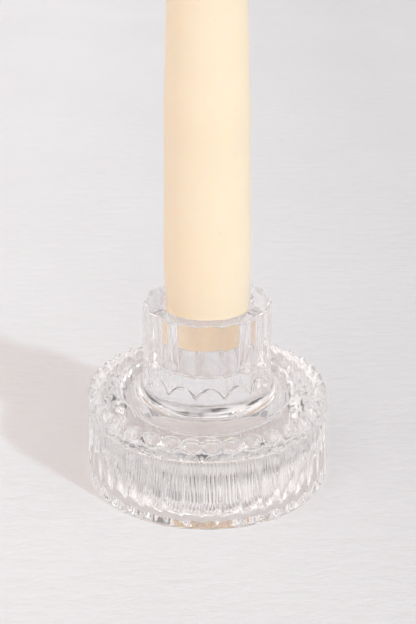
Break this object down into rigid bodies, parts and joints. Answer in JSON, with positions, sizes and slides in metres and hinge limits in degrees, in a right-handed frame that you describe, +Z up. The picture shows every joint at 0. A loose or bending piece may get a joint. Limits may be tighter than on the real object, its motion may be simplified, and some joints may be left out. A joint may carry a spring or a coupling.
{
  "type": "candle holder",
  "caption": "Clear pressed-glass candle holder with a fluted round foot and a fluted collar, holding an ivory taper candle; its underside has a tealight recess.",
  "frame": {"origin": "centre of the flat ring the glass foot rests on", "axes": "+Z up along the axis of the holder and candle; -Y is the front, where a foot flute and a collar flute line up; +X to the right of the front"},
  "size_m": [0.0634, 0.0634, 0.2004],
  "materials": {
    "clear_glass": "polished clear pressed glass",
    "ivory_wax": "smooth ivory wax, satin",
    "cotton_wick": "braided cotton"
  },
  "bodies": {
    "holder": {"glass_holder": "clear_glass"},
    "candle": {"candle_wax": "ivory_wax", "candle_wick": "cotton_wick"}
  },
  "joints": [
    {"name": "candle_lift", "type": "slide", "parent": "holder", "child": "candle", "axis": [0, 0, 1], "range_m": [0, 0.03]}
  ]
}
